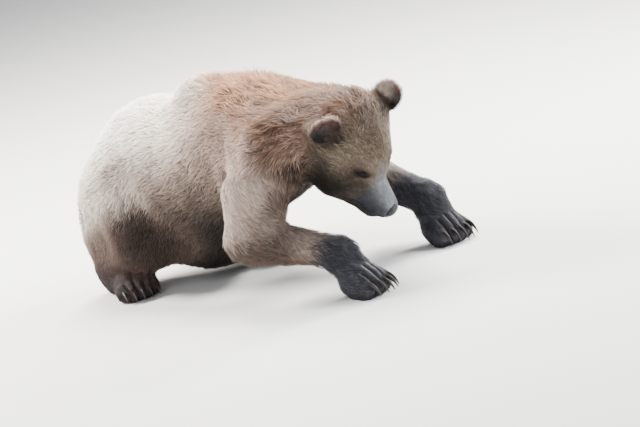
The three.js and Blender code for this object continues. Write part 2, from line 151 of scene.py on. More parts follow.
def numbers(mesh, domain, key, width, kind=np.float32):
    values = np.empty(len(getattr(mesh, domain)) * width, kind)
    getattr(mesh, domain).foreach_get(key, values)
    return values.reshape(-1, width).astype(np.float64 if kind is np.float32 else kind)


def mesh_object(name, mesh):
    piece = bpy.data.objects.new(name, mesh)
    scene.collection.objects.link(piece)
    return piece


corners, triangles, owners = [], [], []
for name in under_skin:
    node = bmesh.new()
    node.from_mesh(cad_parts[name].data)
    node.transform(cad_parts[name].matrix_world)
    bmesh.ops.remove_doubles(node, verts=node.verts, dist=1e-5)
    bmesh.ops.triangulate(node, faces=node.faces)
    node.normal_update()
    start = len(corners)
    corners += [v.co + v.normal * SWELL for v in node.verts]
    triangles += [[start + v.index for v in face.verts] for face in node.faces]
    owners += [flesh.index(name if name in flesh else "head")] * len(node.faces)
    node.free()
flesh_tree = BVHTree.FromPolygons(corners, triangles)
rough_mesh = bpy.data.meshes.new("rough_body")
rough_mesh.from_pydata(corners, [], triangles)
rough = mesh_object("rough_body", rough_mesh)
closing = rough.modifiers.new("net", "REMESH")
closing.mode = "VOXEL"
closing.voxel_size = NET
skin_mesh = bpy.data.meshes.new_from_object(rough.evaluated_get(bpy.context.evaluated_depsgraph_get()))
bpy.data.objects.remove(rough)

eye_middle = {side: middle_of("eye_" + side) for side in ("right", "left")}
face_left = (eye_middle["left"] - eye_middle["right"]).normalized()
face_forward = (FACE_FORWARD - face_left * FACE_FORWARD.dot(face_left)).normalized()
face_out = face_forward.cross(face_left)
between_eyes = (eye_middle["left"] + eye_middle["right"]) / 2
nose_tip = between_eyes + face_forward * EYE_BEHIND_NOSE - face_out * EYE_ABOVE_NOSE
face_axes = np.array([face_forward, face_left, face_out])


def in_face(points):
    """Forward from the nose tip, to the bear's left, and out of its brow."""
    return (points - np.array(nose_tip)) @ face_axes.T


# The net is made finer over the head, finer again on the muzzle, and finest round the eyes.
net = bmesh.new()
net.from_mesh(skin_mesh)
for reach in FINER_NEAR_NOSE + FINER_NEAR_EYES:
    centres = [nose_tip] if reach in FINER_NEAR_NOSE else list(eye_middle.values())
    chosen = []
    for edge in net.edges:
        middle = (edge.verts[0].co + edge.verts[1].co) / 2
        if min((middle - centre).length for centre in centres) < reach:
            chosen.append(edge)
    bmesh.ops.subdivide_edges(net, edges=chosen, cuts=1, use_grid_fill=True)
net.to_mesh(skin_mesh)
net.free()

skin_at = numbers(skin_mesh, "vertices", "co", 3)
links = numbers(skin_mesh, "edges", "vertices", 2, np.int32)
link_ends = np.concatenate([links[:, 0], links[:, 1]])
link_starts = np.concatenate([links[:, 1], links[:, 0]])
link_count = np.maximum(np.bincount(link_ends, minlength=len(skin_at)), 1)[:, None]


def neighbour_mean(values):
    columns = [np.bincount(link_ends, values[link_starts, c], len(values)) for c in range(values.shape[1])]
    return np.stack(columns, 1) / link_count


def spread(values, rounds):
    for _ in range(rounds):
        values = values + 0.5 * (neighbour_mean(values) - values)
    return values


# Which stretch of the body each point of skin belongs to, softened so that one runs into the next.
STRETCHES = ["head", "ear", "neck", "trunk", "tail", "upper_foreleg", "forearm", "forepaw", "thigh",
             "shank", "hind_foot"]
HEAD, EAR = STRETCHES.index("head"), STRETCHES.index("ear")


def stretch_of(node):
    if node == "nose":
        return HEAD
    return next(i for i, name in enumerate(STRETCHES) if node.startswith(name))


def smooth_step(low, high, x):
    t = np.clip((x - low) / (high - low), 0, 1)
    return t * t * (3 - 2 * t)


def bump_at(points, centre, reach):
    """1 at the centre, falling smoothly to 0 a little beyond the reach along each axis."""
    return np.exp(-(((points - np.array(centre)) / np.array(reach)) ** 2).sum(1))


skin_owner = np.array([owners[flesh_tree.find_nearest(Vector(p))[2]] for p in skin_at])
skin_stretch = np.array([stretch_of(name) for name in flesh])[skin_owner]
on_head = skin_stretch == HEAD
sharp = np.eye(len(STRETCHES))[skin_stretch]
ear_weight = spread(sharp[:, [EAR]], 3)[:, 0]
soft = spread(sharp, 24)
share_of = dict(zip(STRETCHES, soft.T))
softer = spread(soft, 160) * (1 - ear_weight[:, None])
softer[:, EAR] += ear_weight


def by_stretch(**sizes):
    """A size for every point of the skin, from one size for each stretch of the body."""
    return soft @ np.array([sizes.get(name, sizes["rest"]) for name in STRETCHES])


evening = by_stretch(head=0.10, ear=0.05, neck=0.8, forepaw=0.10, hind_foot=0.12, rest=1.0)
for _ in range(SMOOTHING_ROUNDS):
    skin_at = skin_at + (DRAW_IN * evening)[:, None] * (neighbour_mean(skin_at) - skin_at)
    skin_at = skin_at - (LET_OUT * evening)[:, None] * (neighbour_mean(skin_at) - skin_at)


def set_skin(points):
    skin_mesh.vertices.foreach_set("co", points.astype(np.float32).ravel())
    skin_mesh.update()


def skin_normals():
    return numbers(skin_mesh, "vertex_normals", "vector", 3)


set_skin(skin_at)

# The coat stands on the skin, so the skin is sunk by the coat's depth: thin on the muzzle, feet and
# ears, deepest over the hump and the neck. The soles stay on the floor.
face_at = in_face(skin_at)
back_of_face = smooth_step(0.03, 0.30, -face_at[:, 0])
coat_depth = by_stretch(**COAT_DEPTH)
coat_depth += share_of["head"] * (MUZZLE_COAT_DEPTH + CROWN_COAT_MORE * back_of_face)
coat_depth += HUMP_COAT_MORE * bump_at(skin_at, HUMP_AT, (0.22, 0.14, 0.12))
normals = skin_normals()
sole = (skin_at[:, 2] < SOLE_HEIGHT) & (normals[:, 2] < -0.5)
coat_depth[sole] = 0.0
coat_depth = spread(coat_depth[:, None], 6)[:, 0]
skin_at = skin_at - normals * coat_depth[:, None]
skin_at[:, 2] = np.maximum(skin_at[:, 2], 0.0)
set_skin(skin_at)


# ---- Skin: the face and toes -----------------------------------------------------------------------
# The skull's forms are pressed into the skin, and it dips behind each eyeball, where lids take its place.
# A groove parts the lips and runs back under the cheek, and a faint cleft joins it to the nose. Furrows
# part the toes.
BALL_RADIUS = 0.0105
BALL_SINK = 0.003  # the eyeball lies this much deeper than its solid, as the skin does
LID_HALF_LENGTH = 0.0098
LID_HALF_HEIGHT = 0.0050
LID_REACH = (0.016, 0.014)  # from the slit to the outer edge of the lids, along it and across it
LID_MEETS_SKIN = 0.62  # how far out over the lids they have left the ball for the skin
SKIN_UNDER_BALL = 0.0012
SKIN_UNDER_LIDS = 0.0009
AROUND_EYE = 0.022
LIP_FRONT = -0.047  # height of the mouth below the nose tip, along the face's outward axis
LIP_SLOPE = 0.17
MOUTH_LENGTH = 0.118
MOUTH_HALF_WIDTH = 0.075
LIP_GROOVE, LIP_GROOVE_WIDTH = 0.0042, 0.0032
LIP_SWELL = 0.0016
CLEFT, CLEFT_WIDTH = 0.0012, 0.0022
TOE_FURROW, TOE_FURROW_WIDTH = 0.0085, 0.0045


def unit(vectors):
    vectors = np.asarray(vectors, float)
    return vectors / np.maximum(np.linalg.norm(vectors, axis=-1, keepdims=True), 1e-9)


def eye_frame(side):
    """Axes along the slit to its outer corner, up to the brow, and out of the eye."""
    centre = np.array(eye_middle[side])
    near = np.linalg.norm(skin_at - centre, axis=1) < AROUND_EYE
    looking = unit(skin_normals()[near].mean(0) + 0.15 * face_axes[0])
    outward = face_axes[1] * (-1 if side == "right" else 1)
    slit = unit(-0.6 * face_axes[0] + 0.8 * outward)
    slit = unit(slit - looking * (slit @ looking))
    lifted = np.cross(looking, slit)
    if lifted @ (face_axes[2] - face_axes[0]) < 0:
        lifted = -lifted
    return centre - looking * BALL_SINK, np.array([slit, lifted, looking])


# Under the fur: a hollow between muzzle and cheekbone in front of each eye, another behind it, a ridge of
# brow over it, flatter sides to the muzzle and a shallow furrow down the forehead.
FACE_FORMS = [  # middle and reach in the face's axes, for the left side, and depth
    ((-0.122, 0.060, 0.012), (0.032, 0.026, 0.034), 0.0075),
    ((-0.205, 0.090, 0.052), (0.030, 0.024, 0.030), 0.0040),
    ((-0.172, 0.050, 0.078), (0.018, 0.022, 0.014), -0.0030),
    ((-0.190, 0.100, 0.010), (0.034, 0.026, 0.020), -0.0030),
    ((-0.060, 0.045, -0.018), (0.040, 0.020, 0.026), 0.0030),
    ((-0.200, 0.000, 0.090), (0.060, 0.012, 0.050), 0.0030),
]
face_at = in_face(skin_at)
mirrored = face_at * [1, 0, 1] + np.abs(face_at) * [0, 1, 0]
pressed = np.zeros(len(skin_at))
for form_middle, form_reach, depth in FACE_FORMS:
    pressed += depth * bump_at(mirrored, form_middle, form_reach)
skin_at = skin_at - skin_normals() * pressed[:, None]
set_skin(skin_at)

eye_frames = {side: eye_frame(side) for side in ("right", "left")}


def lid_place(points, side):
    """Places in the eye's axes, and how far out over the lids: 0 at the slit, 1 at their outer edge."""
    centre, axes = eye_frames[side]
    local = (points - centre) @ axes.T
    low, high = np.full(len(points), -0.24), np.full(len(points), 4.0)
    for _ in range(18):
        out = (low + high) / 2
        along = local[:, 0] / (LID_HALF_LENGTH + LID_REACH[0] * out)
        across = local[:, 1] / (LID_HALF_HEIGHT + LID_REACH[1] * out)
        outside = along ** 2 + across ** 2 > 1
        low, high = np.where(outside, out, low), np.where(outside, high, out)
    elsewhere = (local[:, 2] < 0) | (np.linalg.norm(local, axis=1) > 0.05)
    return local, np.where(elsewhere, 9.0, (low + high) / 2)


def lid_height(local, out, skin_height, thickness):
    """Height over the eye's middle: on the ball near the slit, and on the skin at the outer edge."""
    ball = (BALL_RADIUS + thickness) ** 2 - (local[:, :2] ** 2).sum(1)
    on_ball = np.sqrt(np.maximum(ball, (0.6 * BALL_RADIUS) ** 2))
    return on_ball + (skin_height - on_ball) * smooth_step(0.0, LID_MEETS_SKIN, out)


whole_skin = BVHTree.FromPolygons([Vector(p) for p in skin_at],
                                  [list(face.vertices) for face in skin_mesh.polygons])
for side in ("right", "left"):
    centre, axes = eye_frames[side]
    local, out = lid_place(skin_at, side)
    under = lid_height(local, out, local[:, 2], -SKIN_UNDER_BALL)
    under = under - SKIN_UNDER_LIDS * smooth_step(1.0, 0.7, out)
    moved = out < 1.0
    skin_at[moved] += np.minimum(under - local[:, 2], 0)[moved, None] * axes[2]
set_skin(skin_at)

face_at = in_face(skin_at)
above_mouth = face_at[:, 2] - LIP_FRONT + LIP_SLOPE * (-face_at[:, 0] - 0.012)
along_mouth = smooth_step(-MOUTH_LENGTH - 0.014, -MOUTH_LENGTH, face_at[:, 0])
along_mouth = along_mouth * (np.abs(face_at[:, 1]) < MOUTH_HALF_WIDTH)
groove = along_mouth * np.exp(-((above_mouth / LIP_GROOVE_WIDTH) ** 2)) * on_head
lip = along_mouth * np.exp(-(((above_mouth - 0.008) / 0.006) ** 2)) * on_head
cleft = np.exp(-((face_at[:, 1] / CLEFT_WIDTH) ** 2)) * (face_at[:, 0] > -0.03)
cleft = cleft * smooth_step(0.002, 0.010, above_mouth) * ((face_at[:, 2] < -0.026) * on_head)
inward = LIP_GROOVE * groove - LIP_SWELL * lip + CLEFT * cleft
skin_at = skin_at - skin_normals() * inward[:, None]

# The toes' furrows run back from between the claws to the knuckles.
toe_ahead = {}
toe_gaps = np.zeros(len(skin_at))
for paw in ("forepaw_right", "forepaw_left", "hind_foot_right", "hind_foot_left"):
    first, third, fifth = (np.array(middle_of(f"{paw}_claw_{number}")) for number in (1, 3, 5))
    across = unit(fifth - first)
    across[2] = 0
    toe_ahead[paw] = np.array([across[1], -across[0], 0.0])
    local = (skin_at - third) @ np.array([unit(across), toe_ahead[paw]]).T
    spacing = np.linalg.norm((fifth - first)[:2]) / 4
    between = np.abs((local[:, 0] / spacing) % 1.0 - 0.5) * spacing
    front = smooth_step(-0.075, -0.050, local[:, 1]) * (np.abs(local[:, 0]) < 1.75 * spacing)
    furrow = np.exp(-((between / TOE_FURROW_WIDTH) ** 2)) * front
    furrow = furrow * (skin_owner == flesh.index(paw)) * (skin_at[:, 2] > SOLE_HEIGHT)
    skin_at = skin_at - skin_normals() * (TOE_FURROW * furrow)[:, None]
    toe_gaps += furrow
set_skin(skin_at)
skin_at = skin_at + 0.3 * evening[:, None] * (neighbour_mean(skin_at) - skin_at)
skin_at[:, 2] = np.maximum(skin_at[:, 2], 0.0)
set_skin(skin_at)
normals = skin_normals()


# ---- Markings --------------------------------------------------------------------------------------
# Cream over the rump and flank, rust-brown on the hump, neck and crown, grey-tan on the face with dark
# rings round the eyes, brown on the legs, and nearly black from the wrists down and under the belly.
# Painted shade deepens the belly and darkens the throat, the forelegs' undersides, the jaw's lower edge,
# the lower ears, the ruff, the forehead's furrow and the nooks; the rust is painted darker where it faces
# up, against the light from above.
def dye(red, green, blue):
    return (np.array([red, green, blue]) / 255.0) ** 2.2


def ripple(points, size, seed, count=20):
    """Smooth noise of about unit strength, with waves of roughly the given size."""
    draw = np.random.default_rng(seed)
    ways = unit(draw.normal(size=(count, 3))) * (2 * pi / size) * draw.uniform(0.6, 1.5, (count, 1))
    return np.sin(points @ ways.T + draw.uniform(0, 2 * pi, count)).sum(1) / np.sqrt(count / 2)


CREAM = dye(252, 238, 222)
TAN = dye(150, 128, 114)
RUST = dye(138, 94, 62)
NAPE = dye(160, 131, 114)
CURL = dye(100, 74, 58)
CROWN = dye(84, 56, 41)
GRIZZLE = dye(124, 110, 94)
ARM = dye(199, 177, 163)
BROWN = dye(140, 114, 98)
MAUVE = dye(86, 63, 54)
DARK = dye(50, 38, 33)
# Near black: the belly's own hair, and painted shade wherever else it is laid.
BELLY_BLACK_AND_SHADE = dye(21, 16, 13)
SHANK = dye(68, 52, 47)
HIND_FOOT = dye(60, 50, 49)
WET_BLACK = dye(52, 53, 60)
MUZZLE_GREY = dye(88, 91, 97)
BRIDGE = dye(141, 146, 151)
EAR_RED = dye(58, 28, 22)
EAR_TUFT = dye(176, 160, 150)
EAR_RIM = dye(216, 188, 170)
EYE_RING = dye(30, 23, 20)
LIP_GREY = dye(40, 42, 50)
LIP_DARK = dye(30, 24, 24)
STRETCH_COLOURS = np.array([GRIZZLE, CROWN, NAPE, TAN, CREAM, ARM, BROWN, WET_BLACK, MAUVE, SHANK,
                            HIND_FOOT])  # one for each of STRETCHES, before the markings
WHORLS = [  # middle and strength of the dark curls down the neck
    ((0.15, -0.20, 0.56), 0.70),
    ((0.25, -0.17, 0.59), 0.85),
    ((0.37, -0.25, 0.49), 1.00),
]
FORELEGS = [("right", -1, 0.215), ("left", 1, 0.275)]  # side, its sign, and how far above the paw is wet
EARS = {  # middle, facing and upper edge in the face's axes, and the share of pale hair in the cup
    "right": ((-0.328, -0.134, 0.120), (0.80, -0.45, 0.60), (-0.60, 0.25, 0.75), 0.12),
    "left": ((-0.322, 0.132, 0.100), (0.35, -0.55, 0.75), (-0.85, 0.20, 0.45), 0.95),
}
SKIN_SHADE = 0.62  # the skin is darker than the hair that grows on it

joint = {name: np.array(middle_of(name)) for name in flesh}


def blended(colours, other, share):
    return colours + (other - colours) * np.clip(share, 0, 1)[:, None]


def markings(points, weights, facing, cup, nook):
    """The coat's colour at points of the skin, with painted shade, from their weights by stretch, the
    skin's normals there, how far inside an ear they lie, and how deep in the nook at an ear's foot or
    between two toes, where shade is painted."""
    head, ear, neck, trunk, tail, upper_foreleg, forearm, forepaw, thigh, shank, _ = weights.T
    colours = weights @ STRETCH_COLOURS
    wander = 0.5 * ripple(points, 0.16, 11) + 0.35 * ripple(points, 0.06, 12)
    x, y, z = points.T
    # Back: cream at the rear, rust over hump and neck with darker curls, and a brown nape. The rust is
    # painted darker where it faces up and paler on its sides, to offset the light from above.
    height = z + 0.28 * smooth_step(-0.40, -0.60, x)
    rear = smooth_step(0.09, -0.36, x + 0.03 * wander) * smooth_step(0.34, 0.53, height + 0.03 * wander)
    colours = blended(colours, CREAM, rear * (trunk + tail))
    hump = smooth_step(-0.06, 0.05, z - 0.635 + 0.48 * (x - 0.01) + 0.02 * wander)
    hump = hump * smooth_step(-0.29, -0.08, x + 0.03 * wander)
    mottle = 1 + 0.28 * ripple(points, 0.05, 15) * (hump * trunk + neck)
    # Painted against the light: the darker rust on faces turned up, the paler nape colour on the sides.
    rust_offset_for_light = blended(np.tile(NAPE, (len(points), 1)), RUST, smooth_step(0.35, 0.85, facing[:, 2]))
    colours = colours + (rust_offset_for_light - colours) * (0.95 * hump * (trunk + neck))[:, None]
    for whorl, share in WHORLS:
        curl = bump_at(points, whorl, (0.075, 0.075, 0.055))
        colours = blended(colours, CURL, share * curl * (1 + 0.5 * wander))
    nape = smooth_step(0.26, 0.38, x) * smooth_step(0.2, 0.8, facing[:, 2])
    colours = blended(colours, CURL * 0.8, 0.9 * nape * (neck + trunk) * (1 + 0.4 * wander))
    off_middle = np.abs(y - joint["trunk"][1])
    shoulder = bump_at(np.stack([x, off_middle, z], 1), (0.29, 0.33, 0.465), (0.08, 0.08, 0.105))
    colours = blended(colours, ARM, 0.9 * shoulder)
    # Beneath: the belly's own near-black hair, deepened by painted shade towards the bottom of the trunk
    # and on faces turned down, and painted shade between the thighs and under the throat.
    belly = 0.05 * smooth_step(-0.08, -0.20, x) * smooth_step(-0.48, -0.34, x)
    # Darker towards the bottom of the trunk: the belly's own dark hair and painted shade.
    low = smooth_step(0.52, 0.22, z - belly + 0.02 * wander)
    belly_and_painted_shade = np.maximum(low, smooth_step(-0.25, -0.80, facing[:, 2]))
    colours = blended(colours, BELLY_BLACK_AND_SHADE, 0.97 * belly_and_painted_shade * trunk)
    # Painted shade between the thighs.
    colours = blended(colours, BELLY_BLACK_AND_SHADE, 0.8 * low * smooth_step(-0.44, -0.36, x) * thigh)
    # Painted shadow under the throat, where the neck meets the chest.
    throat_shadow = np.maximum(smooth_step(0.485, 0.425, z), smooth_step(-0.35, -0.62, facing[:, 2]))
    colours = blended(colours, BELLY_BLACK_AND_SHADE, 0.95 * throat_shadow * neck)
    # Hind legs: the hip and the back of each thigh stay pale, and the front and the shank darken.
    behind = smooth_step(-0.40, -0.51, x + 0.02 * wander) * smooth_step(0.06, 0.18, z)
    colours = blended(colours, CREAM, 0.70 * behind * thigh)
    hip = smooth_step(0.24, 0.36, z - 0.9 * belly + 0.02 * wander)
    flank = blended(np.tile(TAN, (len(points), 1)), CREAM, smooth_step(-0.12, -0.46, x))
    colours = colours + (flank - colours) * (0.9 * hip * thigh)[:, None]
    colours = blended(colours, TAN, 0.25 * behind * shank)
    # Forelegs: the outer side is pale, the inner side brown, and the lower end dark; painted shade darkens
    # their undersides and the hollow behind the elbow.
    for side, outward, wet_to in FORELEGS:
        reach = np.linalg.norm(points - joint["forepaw_" + side], axis=1)
        mine = smooth_step(-0.02, 0.02, (y - joint["trunk"][1]) * outward)
        outer = smooth_step(-0.35, 0.25, facing[:, 1] * outward + 0.5 * facing[:, 2]) * mine
        outer = outer * smooth_step(-0.75, 0.15, facing[:, 2])
        colours = blended(colours, ARM * 0.50, 0.9 * outer * forearm)
        colours = blended(colours, BROWN, 0.8 * (mine - outer) * upper_foreleg)
        # Painted shade on the legs' faces turned down and behind the elbow.
        shade_behind_elbow = smooth_step(0.270, 0.205, z) * smooth_step(0.47, 0.36, x)
        under = np.maximum(smooth_step(-0.1, -0.9, facing[:, 2]), shade_behind_elbow)
        leg = upper_foreleg + forearm
        front = smooth_step(0.60, 0.95, facing[:, 0]) * leg * smooth_step(0.26, 0.32, z)
        colours = blended(colours, DARK, mine * (0.8 * under * leg + 0.7 * front))
        wet = smooth_step(wet_to + 0.02, wet_to - 0.09, reach + 0.016 * wander)
        colours = blended(colours, WET_BLACK, wet * (forearm + upper_foreleg + forepaw))
    # Face: rust crown, grizzled brow, pale bridge on a grey muzzle, brown cheeks that darken downwards, a
    # painted shadow along the lower edge of the jaw, and painted shade down the forehead's furrow.
    place = in_face(points)
    crown = smooth_step(-0.275, -0.345, place[:, 0] + 0.014 * wander)
    colours = blended(colours, CROWN, 0.9 * crown * head)
    cheek = smooth_step(0.055, 0.005, place[:, 2]) * smooth_step(-0.30, -0.24, place[:, 0])
    colours = blended(colours, GRIZZLE * 0.34, 0.9 * cheek * head)
    # Painted shadow along the lower edge of the jaw.
    jaw_shadow = smooth_step(0.034, -0.040, place[:, 2] + 0.006 * wander)
    jaw_shadow *= smooth_step(-0.105, -0.150, place[:, 0])
    jaw_shadow *= 1 - 0.6 * smooth_step(-0.20, -0.27, place[:, 0])
    colours = blended(colours, BELLY_BLACK_AND_SHADE, 0.9 * jaw_shadow * head)
    # Painted shade down the forehead's furrow.
    forehead_furrow_shade = np.exp(-((place[:, 1] / 0.052) ** 2)) * smooth_step(-0.14, -0.20, place[:, 0]) * (1 - crown)
    colours = blended(colours, BROWN * 0.36, 0.75 * forehead_furrow_shade * head)
    muzzle = smooth_step(-0.120, -0.065, place[:, 0] + 0.006 * wander) * head
    colours = blended(colours, MUZZLE_GREY, 0.9 * muzzle)
    bridge = np.exp(-((place[:, 1] / 0.027) ** 2)) * smooth_step(0.0, 0.02, place[:, 2])
    bridge = bridge * smooth_step(-0.165, -0.095, place[:, 0])
    colours = blended(colours, BRIDGE, 0.8 * bridge * head)
    lips = np.exp(-(((place[:, 2] + 0.055) / 0.034) ** 2)) * smooth_step(-0.14, -0.06, place[:, 0]) * head
    colours = blended(colours, LIP_GREY, 0.8 * lips)
    chin = smooth_step(-0.055, -0.075, place[:, 2]) * smooth_step(-0.16, -0.10, place[:, 0])
    colours = blended(colours, DARK, 0.8 * chin * head)
    # Eyes: a dark ring in a brown halo, with a trail down the cheek. Ears: dark outside, with painted shade
    # over their lower part, pale-rimmed above, and red-brown in the cup, painted near black as shade
    # towards its foot, with pale tufts on its inner edge.
    for side, (ear_middle, ear_facing, ear_up, pale) in EARS.items():
        local = (points - eye_frames[side][0]) @ eye_frames[side][1].T
        close = np.linalg.norm(local, axis=1) < 0.08
        halo = np.exp(-((local[:, 0] - 0.016) / 0.050) ** 2 - ((local[:, 1] - 0.002) / 0.034) ** 2)
        colours = blended(colours, BROWN * 0.5, 0.6 * halo * close)
        ring = np.exp(-((local[:, 0] - 0.006) / 0.034) ** 2 - ((local[:, 1] + 0.001) / 0.0195) ** 2)
        colours = blended(colours, EYE_RING * 0.6, 1.5 * ring * close)
        trail = np.exp(-((local[:, 0] - 0.032) / 0.030) ** 2 - ((local[:, 1] + 0.030) / 0.022) ** 2)
        colours = blended(colours, EYE_RING, 0.7 * trail * close)
        local = place - ear_middle
        depth = local @ unit(ear_facing)
        from_axis = np.linalg.norm(local - depth[:, None] * unit(ear_facing), axis=1)
        mine = (np.linalg.norm(local, axis=1) < 0.1) * ear
        up_ear = local @ unit(ear_up)
        rim = smooth_step(0.045, 0.053, from_axis) * smooth_step(-0.020, 0.012, up_ear)
        colours = blended(colours, EAR_RIM, 0.95 * mine * (1 - cup) * rim)
        # Painted shade over the lower part of the ear.
        colours = blended(colours, DARK, 0.85 * mine * smooth_step(-0.004, -0.030, up_ear))
        # The cup is red-brown, with painted shade near black towards its foot.
        inner = blended(np.tile(BELLY_BLACK_AND_SHADE, (len(points), 1)), EAR_RED, smooth_step(-0.010, 0.030, up_ear))
        tuft = pale * smooth_step(-0.030, 0.010, up_ear) * smooth_step(0.036, 0.008, local[:, 1])
        inner = blended(inner, EAR_TUFT, tuft)
        colours = colours + (inner - colours) * np.clip(mine * cup * 1.2, 0, 1)[:, None]
    # Painted shadow darkens the ruff and cheek below each ear.
    beside = np.abs(place * [0, 1, 0]) + place * [1, 0, 1]
    ruff_shadow = 1.2 * bump_at(beside, (-0.294, 0.107, 0.107), (0.032, 0.028, 0.034))
    ruff_shadow += 0.70 * bump_at(beside, (-0.292, 0.132, 0.035), (0.030, 0.030, 0.045))
    colours = blended(colours, BELLY_BLACK_AND_SHADE, ruff_shadow * head)
    # Painted shade in the nooks, at the foot of each ear and between the toes.
    colours = blended(colours, DARK, 0.75 * nook)
    light = (1 + 0.07 * wander) * np.clip(mottle, 0.5, 1.5)
    return np.clip(colours * light[:, None], 0.004, 0.95)


# How far inside the cup of an ear a point lies: 1 in the cup, 0 on its back and rim. Hair is short in
# the nooks, round the foot of each ear and between the toes, and painted dark there as shade: the head's
# shadow at each ear's foot, deeper by the right ear, and the shade between the toes.
ear_cup = np.zeros(len(skin_at))
ear_foot_shadow = np.zeros(len(skin_at))
for side, (ear_middle, ear_facing, _, _) in EARS.items():
    local = in_face(skin_at) - ear_middle
    ear_facing = unit(ear_facing)
    depth = local @ ear_facing
    from_axis = np.linalg.norm(local - depth[:, None] * ear_facing, axis=1)
    mine = skin_owner == flesh.index("ear_" + side)
    inside = smooth_step(0.10, 0.45, normals @ (ear_facing @ face_axes))
    ear_cup += mine * inside * smooth_step(0.052, 0.045, from_axis)
    around = (1 - ear_weight) * smooth_step(0.074, 0.052, from_axis)
    around = around * smooth_step(-0.030, -0.008, depth) * (depth < 0.07)
    # The painted shadow is deeper by the right ear than by the left.
    ear_foot_shadow += around * (1.0 if side == "right" else 0.35)
ear_cup = spread(ear_cup[:, None], 2)[:, 0]
nook = np.maximum(spread(ear_foot_shadow[:, None], 3)[:, 0], toe_gaps)

facing = unit(spread(normals, 60))
skin_colour = markings(skin_at, softer, facing, ear_cup, nook)
skin_colour = blended(skin_colour * SKIN_SHADE, LIP_DARK, groove)


def paint(mesh, name, colours):
    layer = mesh.color_attributes.new(name, "FLOAT_COLOR", "POINT")
    with_alpha = np.ones((len(colours), 4), np.float32)
    with_alpha[:, :3] = colours
    layer.data.foreach_set("color", with_alpha.ravel())


paint(skin_mesh, "tint", skin_colour)
skin_mesh.shade_smooth()
skin_mesh.name = "skin"
skin = mesh_object("skin", skin_mesh)

# The grain that hide, leather and horn share: fine noise raised by a given depth.
grain_group = bpy.data.node_groups.new("grain", "ShaderNodeTree")
for socket in ("Scale", "Depth"):
    grain_group.interface.new_socket(socket, in_out="INPUT", socket_type="NodeSocketFloat")
grain_group.interface.new_socket("Normal", in_out="OUTPUT", socket_type="NodeSocketVector")
given = grain_group.nodes.new("NodeGroupInput")
result = grain_group.nodes.new("NodeGroupOutput")
coordinates = grain_group.nodes.new("ShaderNodeTexCoord")
noise = grain_group.nodes.new("ShaderNodeTexNoise")
noise.inputs["Detail"].default_value = 3
relief = grain_group.nodes.new("ShaderNodeBump")
relief.inputs["Strength"].default_value = 0.8
grain_group.links.new(coordinates.outputs["Object"], noise.inputs["Vector"])
grain_group.links.new(given.outputs["Scale"], noise.inputs["Scale"])
grain_group.links.new(given.outputs["Depth"], relief.inputs["Distance"])
grain_group.links.new(noise.outputs["Fac"], relief.inputs["Height"])
grain_group.links.new(relief.outputs["Normal"], result.inputs["Normal"])


def tinted_material(name, roughness, specular, grain_size=None, grain_depth=None):
    """A finish whose colour is painted on the mesh, with or without grain."""
    material, shader = plain_material(name, (0.5, 0.5, 0.5), roughness)
    shader.inputs["Specular IOR Level"].default_value = specular
    nodes, wires = material.node_tree.nodes, material.node_tree.links
    tint = nodes.new("ShaderNodeAttribute")
    tint.attribute_name = "tint"
    wires.new(tint.outputs["Color"], shader.inputs["Base Color"])
    if grain_depth:
        grain = nodes.new("ShaderNodeGroup")
        grain.node_tree = grain_group
        grain.inputs["Scale"].default_value = 1 / grain_size
        grain.inputs["Depth"].default_value = grain_depth
        wires.new(grain.outputs["Normal"], shader.inputs["Normal"])
    return material


skin_mesh.materials.clear()
skin_mesh.materials.append(tinted_material("undercoat", 0.85, 0.2, 0.004, 0.0015))
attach(skin, "root")
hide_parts(*[name for name in flesh if name != "nose"])


